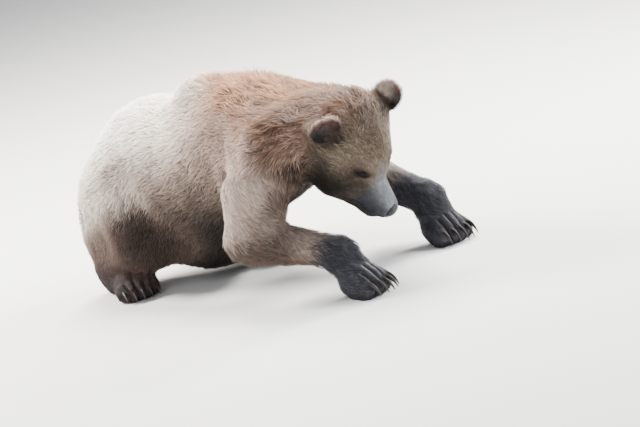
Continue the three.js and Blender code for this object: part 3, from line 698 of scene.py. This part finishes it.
# ---- Eyes ------------------------------------------------------------------------------------------
# Small wet balls, almost black, with a dark brown iris round the pupil. Dark lids with a thick rim, the
# upper one folded, lie half closed over each and run out into the skin of the face.
PUPIL = 0.0036
PUPIL_BLACK = 0.004
IRIS = 0.0070
IRIS_BROWN = dye(24, 15, 10)
BALL_BLACK = dye(16, 12, 11)
CORNEA_BULGE = 0.0005
LID_THICKNESS = 0.0012
LID_RIM = 0.0006
LID_FOLD = 0.0010
LID_TUCK = 0.0016  # how far the lids' outer edge dips under the skin
LID_RINGS = 22
LID_STEPS = 72
CAST_FROM = 0.04  # the skin's height over the eye is felt for from this far out
eye_wet = tinted_material("eye_wet", 0.18, 0.14)
lid_skin = tinted_material("lid_skin", 0.75, 0.12, 0.0012, 0.0003)
for side in ("right", "left"):
    centre, axes = eye_frames[side]
    ball = bmesh.new()
    bmesh.ops.create_icosphere(ball, subdivisions=5, radius=1.0)
    away = np.array([v.co for v in ball.verts])
    off_axis = np.linalg.norm(away - away @ axes[2][:, None] * axes[2], axis=1) * BALL_RADIUS
    off_axis[away @ axes[2] < 0] = BALL_RADIUS
    bulge = CORNEA_BULGE * (1 - smooth_step(0.004, 0.0075, off_axis))
    for v, way, out in zip(ball.verts, away, bulge):
        v.co = Vector(centre + way * (BALL_RADIUS + out))
    eye_mesh = bpy.data.meshes.new("eye_" + side + "_ball")
    ball.to_mesh(eye_mesh)
    ball.free()
    iris = IRIS_BROWN * (0.8 + 0.4 * np.sin(off_axis * 900)[:, None] ** 2)
    round_pupil = np.where(off_axis[:, None] < IRIS, iris, BALL_BLACK)
    paint(eye_mesh, "tint", np.where(off_axis[:, None] < PUPIL, PUPIL_BLACK, round_pupil))
    eye_mesh.shade_smooth()
    eye_mesh.materials.append(eye_wet)
    eye = mesh_object("eye_" + side + "_ball", eye_mesh)
    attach(eye, "root")
    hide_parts("eye_" + side)

    # The lids: rings of points from just inside the slit to just under the skin.
    out = np.concatenate([[-0.10, -0.05], np.linspace(0, 1.05, LID_RINGS - 2)]).repeat(LID_STEPS)
    turn = np.tile(2 * pi * np.arange(LID_STEPS) / LID_STEPS, LID_RINGS)
    flat = np.stack([(LID_HALF_LENGTH + LID_REACH[0] * out) * np.cos(turn),
                     (LID_HALF_HEIGHT + LID_REACH[1] * out) * np.sin(turn), 0 * turn], 1)
    from_above = centre + flat @ axes + axes[2] * CAST_FROM
    hits = [whole_skin.ray_cast(Vector(p), Vector(-axes[2]), 2 * CAST_FROM)[3] for p in from_above]
    skin_height = CAST_FROM - np.array([CAST_FROM if hit is None else hit for hit in hits])
    rim = LID_RIM * np.exp(-(((out - 0.05) / 0.06) ** 2))
    fold = LID_FOLD * np.exp(-(((out - 0.30) / 0.07) ** 2)) * smooth_step(0.2, 0.7, np.sin(turn))
    thickness = np.where(out < -0.07, -0.0010, np.where(out < 0, 0.0004, LID_THICKNESS + rim + fold))
    flat[:, 2] = lid_height(flat, np.maximum(out, 0), skin_height, thickness)
    flat[:, 2] -= LID_TUCK * smooth_step(0.80, 1.05, out)
    points = centre + flat @ axes
    quads = []
    for ring in range(LID_RINGS - 1):
        for step in range(LID_STEPS):
            a, b = ring * LID_STEPS + step, ring * LID_STEPS + (step + 1) % LID_STEPS
            quads.append((a, a + LID_STEPS, b + LID_STEPS, b))
    lid_mesh = bpy.data.meshes.new("eye_" + side + "_lids")
    lid_mesh.from_pydata(points, [], quads)
    if lid_mesh.polygons[LID_STEPS * 4].normal.dot(Vector(axes[2])) < 0:
        lid_mesh.flip_normals()
    count = len(points)
    head_only = np.tile(np.eye(len(STRETCHES))[HEAD], (count, 1))
    plain = markings(points, head_only, np.tile(axes[2], (count, 1)), np.zeros(count), np.zeros(count))
    paint(lid_mesh, "tint", blended(plain * SKIN_SHADE, LIP_DARK, smooth_step(0.45, 0.05, out)))
    lid_mesh.shade_smooth()
    lid_mesh.materials.append(lid_skin)
    lids = mesh_object("eye_" + side + "_lids", lid_mesh)
    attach(lids, "root")


# ---- Nose leather ----------------------------------------------------------------------------------
# A thick pad of bare, pebbled, blue-black skin over the tip of the muzzle. Two nostrils open forward in
# it and trail off to the sides, painted darker inside as shade.
PAD_HALF_WIDTH = 0.0265
PAD_HALF_HEIGHT = 0.0250
PAD_LOW = -0.006  # the pad's middle, along the face's outward axis
PAD_CORE = (-0.034, 0, -0.012)  # inside the muzzle, in the face's axes
PAD_THICKNESS = 0.0022
PAD_EDGE_SINK = 0.005  # its rim runs in under the skin
NOSTRIL_APART = 0.0125
NOSTRIL_DEPTH = 0.0085
SLIT_DEPTH, SLIT_HALF_HEIGHT = 0.004, 0.0018
PARTING_DEPTH, PARTING_WIDTH = 0.0012, 0.0012
NOSE_BLACK = dye(24, 25, 30)
NOSTRIL_SHADE_BLACK = dye(12, 10, 12)

skin_tree = BVHTree.FromObject(skin, bpy.context.evaluated_depsgraph_get())
pad_core = np.array(nose_tip) + np.array(PAD_CORE) @ face_axes
pad = bmesh.new()
bmesh.ops.create_icosphere(pad, subdivisions=6, radius=1.0)
pad_way = np.array([v.co for v in pad.verts])
pad_reach = []
for way in pad_way:
    hit = skin_tree.ray_cast(Vector(pad_core), Vector(way), 0.2)
    pad_reach.append(hit[3] if hit[0] is not None else 0.03)
pad_reach = np.minimum(np.array(pad_reach), 0.045)
place = in_face(pad_core + pad_way * pad_reach[:, None])
across, upward = np.abs(place[:, 1] / PAD_HALF_WIDTH), np.abs((place[:, 2] - PAD_LOW) / PAD_HALF_HEIGHT)
outline = (across ** 2.4 + upward ** 2.4) ** (1 / 2.4)
on_pad = smooth_step(1.08, 0.86, outline) * smooth_step(-0.044, -0.034, place[:, 0])
sideways, height = np.abs(place[:, 1]) - NOSTRIL_APART, place[:, 2] - PAD_LOW + 0.002
opening = smooth_step(1.25, 0.55, np.hypot(sideways / 0.0058, (height - 0.35 * sideways) / 0.0046))
slit_height = height + 0.0035 + 0.5 * np.maximum(sideways, 0)
slit = smooth_step(1.4, 0.3, np.abs(slit_height) / SLIT_HALF_HEIGHT) * smooth_step(-0.001, 0.003, sideways)
slit *= smooth_step(0.0125, 0.009, sideways)
parting = np.exp(-((place[:, 1] / PARTING_WIDTH) ** 2)) * smooth_step(0.006, -0.004, place[:, 2] - PAD_LOW)
dent = NOSTRIL_DEPTH * opening + SLIT_DEPTH * slit * (1 - opening) + PARTING_DEPTH * parting
pad_reach = pad_reach + PAD_THICKNESS * on_pad - PAD_EDGE_SINK * (1 - on_pad) - dent * on_pad
rearward = pad_way @ face_axes[0] < -0.2
pad_reach[rearward] = np.minimum(pad_reach[rearward], 0.012)
for v, way, reach in zip(pad.verts, pad_way, pad_reach):
    v.co = Vector(pad_core + way * reach)
pad_mesh = bpy.data.meshes.new("nose_leather")
pad.to_mesh(pad_mesh)
pad.free()
nose_black = np.tile(NOSE_BLACK, (len(pad_way), 1))
# The nostrils and their slits are painted darker than the pad, as shade in the openings.
paint(pad_mesh, "tint", blended(nose_black, NOSTRIL_SHADE_BLACK, opening + 0.8 * slit))
pad_mesh.shade_smooth()
pad_mesh.materials.append(tinted_material("nose_wet", 0.42, 0.28, 0.0022, 0.0012))
nose_leather = mesh_object("nose_leather", pad_mesh)
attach(nose_leather, "root")
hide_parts("nose")


# ---- Claws -----------------------------------------------------------------------------------------
# Each claw is a long bent blade of dark horn, deeper than wide, which leaves the toe almost level, hooks
# down, and wears to a paler blunt tip. Four paws carry five each.
HORN_ROOT = dye(30, 27, 29)
HORN_TIP = dye(66, 58, 54)
PALE_FROM = 0.35  # share of the claw's length at which the horn begins to pale
CLAW_THICK = {"forepaw": 0.0094, "hind_foot": 0.0080}
CLAW_WIDE = {"forepaw": 0.62, "hind_foot": 0.72}  # width as a share of depth
CLAW_END = 0.002  # the claw ends this much inside its solid, lengthwise
TIP_HEIGHT = 0.0015
BEND_ALONG, BEND_UP = 0.45, 0.86
CLAW_TAPER, CLAW_TAPER_POWER = 0.86, 1.6
CLAW_RINGS = 16
CLAW_SIDES = 12
horn = tinted_material("horn", 0.45, 0.35, 0.0012, 0.0002)
for paw, paw_ahead in toe_ahead.items():
    kind = paw.rsplit("_", 1)[0]
    for number in range(1, 6):
        node = f"{paw}_claw_{number}"
        low, high = (np.array(corner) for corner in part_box(node))
        thick = CLAW_THICK[kind]
        reach = (high - low) @ np.abs(paw_ahead) * 0.5
        middle = (low + high) / 2
        root = middle - paw_ahead * (reach - CLAW_END)
        root[2] = high[2] - thick
        tip = middle + paw_ahead * (reach - CLAW_END)
        tip[2] = low[2] + TIP_HEIGHT
        bend = middle + paw_ahead * reach * BEND_ALONG
        bend[2] = low[2] + BEND_UP * (high[2] - low[2]) - thick * 0.5
        rings, tints = [], []
        for ring in range(CLAW_RINGS + 1):
            t = ring / CLAW_RINGS
            centre = root * (1 - t) ** 2 + bend * 2 * t * (1 - t) + tip * t * t
            ahead = unit((bend - root) * (1 - t) + (tip - bend) * t)
            side_way = unit(np.cross(ahead, [0, 0, 1.0]))
            over = np.cross(side_way, ahead)
            deep = thick * (1 - t ** CLAW_TAPER_POWER * CLAW_TAPER)
            for step in range(CLAW_SIDES):
                turn = 2 * pi * step / CLAW_SIDES
                sideways, upward = side_way * cos(turn) * deep * CLAW_WIDE[kind], over * sin(turn) * deep
                rings.append(centre + sideways + upward)
                tints.append(HORN_ROOT + (HORN_TIP - HORN_ROOT) * max(0, t - PALE_FROM) / (1 - PALE_FROM))
        faces = []
        for ring in range(CLAW_RINGS):
            for step in range(CLAW_SIDES):
                a, b = ring * CLAW_SIDES + step, ring * CLAW_SIDES + (step + 1) % CLAW_SIDES
                faces.append((a, a + CLAW_SIDES, b + CLAW_SIDES, b))
        faces.append(tuple(range(CLAW_SIDES)))
        faces.append(tuple(CLAW_RINGS * CLAW_SIDES + step for step in reversed(range(CLAW_SIDES))))
        claw_mesh = bpy.data.meshes.new(node + "_horn")
        claw_mesh.from_pydata(rings, [], faces)
        shell = bmesh.new()
        shell.from_mesh(claw_mesh)
        bmesh.ops.recalc_face_normals(shell, faces=shell.faces)
        shell.to_mesh(claw_mesh)
        shell.free()
        paint(claw_mesh, "tint", np.array(tints))
        claw_mesh.shade_smooth()
        claw_mesh.materials.append(horn)
        claw = mesh_object(node + "_horn", claw_mesh)
        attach(claw, "root")
        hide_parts(node)


# ---- Coat: the lie of the hair -----------------------------------------------------------------------
# Hair lies from the nose back over the head, back and down along the trunk, down the legs, and forward
# over the feet. It turns smoothly from one stretch to the next, and whorls behind the right shoulder.
WHORL_REACH = 0.075
LIE_WHORLS = [((0.055, -0.205, 0.53), 1.0), ((0.25, -0.165, 0.60), -1.6)]  # middle and turn


def toward(start, end):
    return unit(joint[end] - joint[start])


lie = {"trunk": [-1.0, 0, -0.5], "neck": [-0.9, 0, -0.45], "tail": [-0.5, 0, -0.9]}
lie["head"] = lie["nose"] = -face_axes[0] + 0.12 * face_axes[2]
for side in ("right", "left"):
    lie["ear_" + side] = unit(joint["ear_" + side] - joint["head"] - 0.02 * face_axes[0])
    lie["upper_foreleg_" + side] = toward("upper_foreleg_" + side, "forearm_" + side) + [-0.25, 0, 0]
    lie["forearm_" + side] = toward("forearm_" + side, "forepaw_" + side)
    lie["forepaw_" + side] = toe_ahead["forepaw_" + side] + [0, 0, -0.35]
    lie["thigh_" + side] = [-0.55, 0, -1.0]
    lie["shank_" + side] = [-0.35, 0, -1.0]
    lie["hind_foot_" + side] = toe_ahead["hind_foot_" + side] + [0, 0, -0.35]
way_of = np.array([unit(np.array(lie[name], float)) for name in flesh])[skin_owner]
way_of[:, 2] -= 0.6 * smooth_step(0.45, 0.9, np.abs(normals[:, 0])) * share_of["trunk"]
face_at = in_face(skin_at)
cheek = share_of["head"] * smooth_step(-0.10, -0.22, face_at[:, 0])
spreading = np.sign(face_at[:, 1:2]) * face_axes[1] * smooth_step(0.0, 0.08, np.abs(face_at[:, 1]))[:, None]
way_of += 0.45 * cheek[:, None] * spreading
way_of = spread(way_of, 16)
for whorl_middle, turn_rate in LIE_WHORLS:
    from_whorl = skin_at - whorl_middle
    turning = np.cross([0.1, -0.85, 0.5], from_whorl) / 0.08
    nearness = np.exp(-(np.linalg.norm(from_whorl, axis=1, keepdims=True) / WHORL_REACH) ** 2)
    way_of += turn_rate * nearness * turning
way_of = spread(unit(way_of - normals * (way_of * normals).sum(1)[:, None]), 6)
way_of = unit(way_of - normals * (way_of * normals).sum(1)[:, None])


# ---- Coat: the locks -----------------------------------------------------------------------------------
# Thin tapered locks, each a closed three-sided blade bent once and drawn to a point, lie over one another
# like thatch: longest on the hump, neck and trunk, shortest on the muzzle and feet, with none on the nose,
# lids and soles. Their roots and lower sides are painted darker than their tips, as the shade the locks
# cast on one another.
LOCK_LENGTH = dict(head=0.0, ear=0.019, neck=0.038, trunk=0.032, tail=0.036, upper_foreleg=0.028,
                   forearm=0.023, forepaw=0.012, thigh=0.028, shank=0.022, hind_foot=0.012, rest=0.03)
MUZZLE_LOCK = 0.0055
CROWN_LOCK_MORE = 0.026
HUMP_LOCK_MORE = 0.014
FINEST_LOCK = 0.0006
LOCK_WIDENS = 0.046  # with its length
LAYERS = 2.6  # how many locks lie over one another
LOCK_RISE = dict(head=0.22, ear=0.42, neck=0.34, trunk=0.26, tail=0.30, forepaw=0.20, hind_foot=0.20,
                 rest=0.26)  # in radians from the skin
HUMP_RISE_MORE = 0.34
STEEPER_AT_ROOT, FLATTER_AT_TIP = 0.38, 0.30
BEND_SHARE, TIP_SHARE = 0.42, 0.58  # of the length, below the bend and above it
ROOT_WIDTH = 0.75  # as a share of the width at the bend
HALF_WIDTH, HALF_DEPTH = 0.5, 0.28
ROOT_DEPTH = 0.0007  # how deep a lock's root is set in the skin
CLOSE_TO_FLOOR = 0.0005
PATCH = 0.003  # size of a lock's patch on the map of its piece
ODD_DARK, ODD_PALE = 0.09, 0.90  # below the one a lock is darker than its place, above the other paler
PALE_HAIR = dye(225, 208, 190)

lock_length = by_stretch(**LOCK_LENGTH)
back_of_face = smooth_step(0.05, 0.32, -face_at[:, 0])
lock_length += share_of["head"] * (MUZZLE_LOCK + CROWN_LOCK_MORE * back_of_face)
on_hump = bump_at(skin_at, HUMP_AT, (0.24, 0.16, 0.14))
lock_length += HUMP_LOCK_MORE * on_hump * (share_of["trunk"] + share_of["neck"])
lock_length *= (1 - 0.45 * ear_weight * ear_cup) * (1 - 0.62 * nook)
for centre, _ in eye_frames.values():
    lock_length *= 1 - 0.62 * np.exp(-(np.linalg.norm(skin_at - centre, axis=1) / 0.036) ** 2)
lock_width = FINEST_LOCK + LOCK_WIDENS * lock_length
unruly = by_stretch(head=1.0, ear=1.0, neck=1.0, trunk=0.45, upper_foreleg=0.6, thigh=0.45, rest=0.6)
unruly += 0.6 * bump_at(skin_at, HUMP_AT, (0.24, 0.22, 0.16)) * share_of["trunk"]
# How deep the painted shade on the locks is: deeper on head and neck, and shallower over the top of the
# rump, which is left brighter as if in full light.
lock_shade_depth = by_stretch(head=1.6, ear=1.3, neck=1.55, trunk=1.25, forepaw=1.3, rest=1.1)
lock_shade_depth -= 0.45 * smooth_step(-0.05, -0.35, skin_at[:, 0]) * smooth_step(0.35, 0.50, skin_at[:, 2])
lock_rise = by_stretch(**LOCK_RISE)
lock_rise += HUMP_RISE_MORE * bump_at(skin_at, (0.02, 0.0, 0.66), (0.26, 0.16, 0.08))
crowd = by_stretch(head=0.53, ear=1.0, neck=1.1, trunk=1.05, forepaw=0.8, hind_foot=0.6, rest=0.85)
crowd += 0.45 * share_of["head"] * back_of_face
head_share = softer[:, HEAD]

# Bare: the parting of the lips, the rims of the lids, the nose leather and the soles.
out_over_lids = np.minimum(lid_place(skin_at, "right")[1], lid_place(skin_at, "left")[1])
bare = np.maximum(groove * 0.9, smooth_step(0.38, 0.20, out_over_lids))
leather = np.hypot(face_at[:, 1] / PAD_HALF_WIDTH, (face_at[:, 2] - PAD_LOW) / PAD_HALF_HEIGHT)
bare = np.maximum(bare, smooth_step(1.06, 0.96, leather) * smooth_step(-0.044, -0.036, face_at[:, 0]))
bare = np.maximum(bare, smooth_step(0.004, 0.001, skin_at[:, 2]))

skin_mesh.calc_loop_triangles()
faces = numbers(skin_mesh, "loop_triangles", "vertices", 3, np.int32)
face_middle = skin_at[faces].mean(1)
face_size = np.linalg.norm(np.cross(skin_at[faces[:, 1]] - skin_at[faces[:, 0]],
                                    skin_at[faces[:, 2]] - skin_at[faces[:, 0]]), axis=1) / 2
face_node = np.array([flesh[i] for i in skin_owner[faces[:, 0]]])
locks_per_area = crowd * LAYERS / (lock_width * lock_length)
wanted = locks_per_area[faces].mean(1) * (1 - bare[faces].max(1)) * face_size

coat_dry = tinted_material("coat_dry", 0.62, 0.25)
coat_wet = tinted_material("coat_wet", 0.36, 0.4)


def lock_shapes(root, out, way, length, width, rise, draw):
    """Seven corners for each lock: a ring at the root, a ring at the bend, and the tip."""
    count = len(root)
    out = unit(out)
    side_way = np.cross(out, way)
    rise = rise * draw.uniform(0.55, 1.5, count)
    steep = (rise + STEEPER_AT_ROOT)[:, None]
    shallow = (rise - FLATTER_AT_TIP)[:, None]
    base = root - out * ROOT_DEPTH
    bend = base + (way * np.cos(steep) + out * np.sin(steep)) * (BEND_SHARE * length)[:, None]
    tip = bend + (way * np.cos(shallow) + out * np.sin(shallow)) * (TIP_SHARE * length)[:, None]
    tip += side_way * (length * draw.normal(0, 0.10, count))[:, None]
    shapes = np.empty((count, 7, 3))
    for step in range(3):
        turn = 2 * pi * step / 3 + pi / 2
        spoke = side_way * cos(turn) * HALF_WIDTH + out * sin(turn) * HALF_DEPTH
        shapes[:, step] = base + spoke * (ROOT_WIDTH * width)[:, None]
        shapes[:, 3 + step] = bend + spoke * width[:, None]
    shapes[:, 6] = tip
    return shapes


LOCK_FACES = np.array([[0, 2, 1], [0, 1, 4], [0, 4, 3], [1, 2, 5], [1, 5, 4], [2, 0, 3], [2, 3, 5],
                       [3, 4, 6], [4, 5, 6], [5, 3, 6]])
CORNER_ALONG = np.array([0.0, 0.0, 0.0, 0.45, 0.45, 0.45, 1.0])  # where each corner lies on the patch
CORNER_ACROSS = np.array([0.5, 0.1, 0.9, 0.5, 0.1, 0.9, 0.5])
# Painted shade on each lock: darkest at the root, darker on its lower sides than on its top, one side more
# than the other; the tip is paler.
CORNER_SHADE = np.array([0.50, 0.42, 0.46, 1.06, 0.70, 0.84, 1.24])  # dark at the root and along its edges


def coat_piece(name, chosen, axis_start, axis_end, slot_name, material, seed, limit):
    """One piece of coat over the chosen faces. Its map unrolls the skin round the given axis."""
    draw = np.random.default_rng(seed)
    picked = np.flatnonzero(chosen)
    share = np.cumsum(wanted[picked])
    count = int(min(limit, share[-1]))
    thinned = share[-1] / count
    at = (np.arange(count) + draw.uniform(0, 1, count)) / count * share[-1]
    face = faces[picked[np.minimum(np.searchsorted(share, at), len(picked) - 1)]]
    a, b = draw.uniform(0, 1, (2, count))
    a, b = np.where(a + b > 1, 1 - a, a), np.where(a + b > 1, 1 - b, b)
    mix = np.stack([1 - a - b, a, b], 1)

    def here(values):
        return np.einsum("nk,nk...->n...", mix, values[face])

    # Neighbours turn together into clumps, and each lock a little on its own.
    root, out, way, wild = here(skin_at), unit(here(normals)), here(way_of), here(unruly)
    clump = (0.30 * ripple(root, 0.045, 21) + 0.22 * ripple(root, 0.14, 22)) * wild
    clump += draw.normal(0, 0.14, count) + 0.5 * ripple(root, 0.020, 24) * here(head_share * back_of_face)
    way = unit(way - out * (way * out).sum(1)[:, None])
    way = way * np.cos(clump)[:, None] + np.cross(out, way) * np.sin(clump)[:, None]
    length = here(lock_length) * draw.uniform(0.7, 1.25, count)
    width = here(lock_width) * draw.uniform(0.75, 1.25, count) * min(1.5, thinned ** 0.4)
    shapes = lock_shapes(root, out, way, length, width, here(lock_rise), draw)
    shapes[:, :, 2] = np.maximum(shapes[:, :, 2], CLOSE_TO_FLOOR)

    # Its colour is the marking's a little way off, made uneven, and here and there darker or paler.
    stray = root + way * (0.6 * length * draw.normal(size=count))[:, None]
    tint = markings(stray, here(softer), here(facing), here(ear_cup), here(nook))
    uneven = 0.08 + 0.08 * wild + 0.14 * here(head_share)
    light = 1 + uneven * draw.normal(size=count) + (0.03 + 0.08 * wild) * ripple(root, 0.022, 23)
    tint *= np.maximum(light, 0.3)[:, None]
    odd = draw.uniform(0, 1, count)
    tint[odd < ODD_DARK] = tint[odd < ODD_DARK] * 0.55
    pale = odd > ODD_PALE
    tint[pale] = tint[pale] * 0.6 + 0.55 * PALE_HAIR * tint[pale].mean(1)[:, None] ** 0.8
    tint = np.clip(tint, 0.004, 0.95)
    # The painted shade along each lock, as deep as lock_shade_depth gives.
    shade = np.maximum(1 + (CORNER_SHADE - 1) * here(lock_shade_depth)[:, None], 0.12)
    colours = np.clip(tint[:, None, :] * shade[:, :, None], 0, 1)

    mesh = bpy.data.meshes.new(name)
    mesh.vertices.add(count * 7)
    mesh.vertices.foreach_set("co", shapes.astype(np.float32).ravel())
    corner = (LOCK_FACES[None] + 7 * np.arange(count)[:, None, None]).reshape(-1)
    mesh.loops.add(len(corner))
    mesh.loops.foreach_set("vertex_index", corner.astype(np.int32))
    mesh.polygons.add(len(corner) // 3)
    mesh.polygons.foreach_set("loop_start", np.arange(0, len(corner), 3, dtype=np.int32))
    mesh.update(calc_edges=True)
    paint(mesh, "tint", colours.reshape(-1, 3))

    axis = unit(np.array(axis_end) - np.array(axis_start))
    first = unit(np.cross(axis, [0.31, 0.82, 0.47]))
    second = np.cross(axis, first)
    from_axis = root - np.array(axis_start)
    along = from_axis @ axis
    round_it = (np.arctan2(from_axis @ second, from_axis @ first) / (2 * pi) + 0.5) * (1 - 2 * PATCH)
    along = (along - along.min()) / max(np.ptp(along), 1e-6) * (1 - 2 * PATCH)
    patch = np.stack([round_it[:, None] + PATCH * CORNER_ACROSS, along[:, None] + PATCH * CORNER_ALONG], 2)
    mapped = mesh.uv_layers.new(name="OFBake")
    mapped.data.foreach_set("uv", patch.reshape(-1, 2)[corner].astype(np.float32).ravel())

    # Light falls on a lock much as on the coat around it, and only a little as on its own narrow sides.
    own = unit(shapes - shapes.mean(1, keepdims=True))
    soft_normals = unit(0.8 * out[:, None, :] + 0.42 * own)
    mesh.shade_smooth()
    mesh.normals_split_custom_set_from_vertices(soft_normals.reshape(-1, 3).astype(np.float32))
    mesh.materials.append(material)
    piece = mesh_object(name, mesh)
    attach(piece, "root")


def over(*names):
    return np.isin(face_node, [node for node in flesh if node.startswith(names)])


# The face and crown, then each side's ear, neck and trunk, and its legs. Seeds differ from piece to piece.
MUZZLE_BACK = -0.20  # in the face's axes
SHOULDER_BACK = -0.08
MOST_LOCKS = 19900
LEG_COATS = [  # stretch, the stretches its map's axis runs from and to, slot, finish, seed, most locks
    ("upper_foreleg", "upper_foreleg", "forearm", "pale_coat", coat_dry, 11, 7500),
    ("forearm", "forearm", "forepaw", "brown_coat", coat_dry, 13, 9000),
    ("forepaw", "forearm", "forepaw", "dark_coat", coat_wet, 15, 6400),
    ("thigh", "thigh", "shank", "pale_coat", coat_dry, 17, 8000),
    ("shank", "thigh", "shank", "brown_coat", coat_dry, 19, 6000),
    ("hind_foot", "shank", "hind_foot", "dark_coat", coat_dry, 21, 4500),
]
withers, rump_end = joint["trunk"] + [0.35, 0, 0], joint["trunk"] - [0.45, 0, 0]
is_head, is_trunk = over("head", "nose"), over("trunk", "tail")
place = in_face(face_middle)
muzzle, to_left = is_head & (place[:, 0] > MUZZLE_BACK), place[:, 1] >= 0
for name, chosen, seed in (
        ("face_right", muzzle & ~to_left, 1),
        ("face_left", muzzle & to_left, 25),
        ("crown_and_cheeks", is_head & ~muzzle, 2)):
    coat_piece("coat_" + name, chosen, nose_tip, joint["head"], "face_coat", coat_dry, seed, MOST_LOCKS)
ahead = face_middle[:, 0] > SHOULDER_BACK
for number, side in enumerate(("right", "left")):
    mine = face_middle[:, 1] < 0 if side == "right" else face_middle[:, 1] >= 0
    for name, chosen, start, end, slot_name, seed, limit in (
            ("ear", over("ear_" + side), joint["head"], joint["ear_" + side], "face_coat", 3, 3500),
            ("neck", over("neck") & mine, joint["neck"], withers, "pale_coat", 5, 9000),
            ("shoulder", is_trunk & mine & ahead, withers, rump_end, "pale_coat", 7, 17000),
            ("flank", is_trunk & mine & ~ahead, withers, rump_end, "pale_coat", 9, MOST_LOCKS)):
        coat_piece(f"coat_{name}_{side}", chosen, start, end, slot_name, coat_dry, seed + number, limit)
    for name, start, end, slot_name, material, seed, limit in LEG_COATS:
        coat_piece(f"coat_{name}_{side}", over(f"{name}_{side}"), joint[f"{start}_{side}"],
                   joint[f"{end}_{side}"], slot_name, material, seed + number, limit)
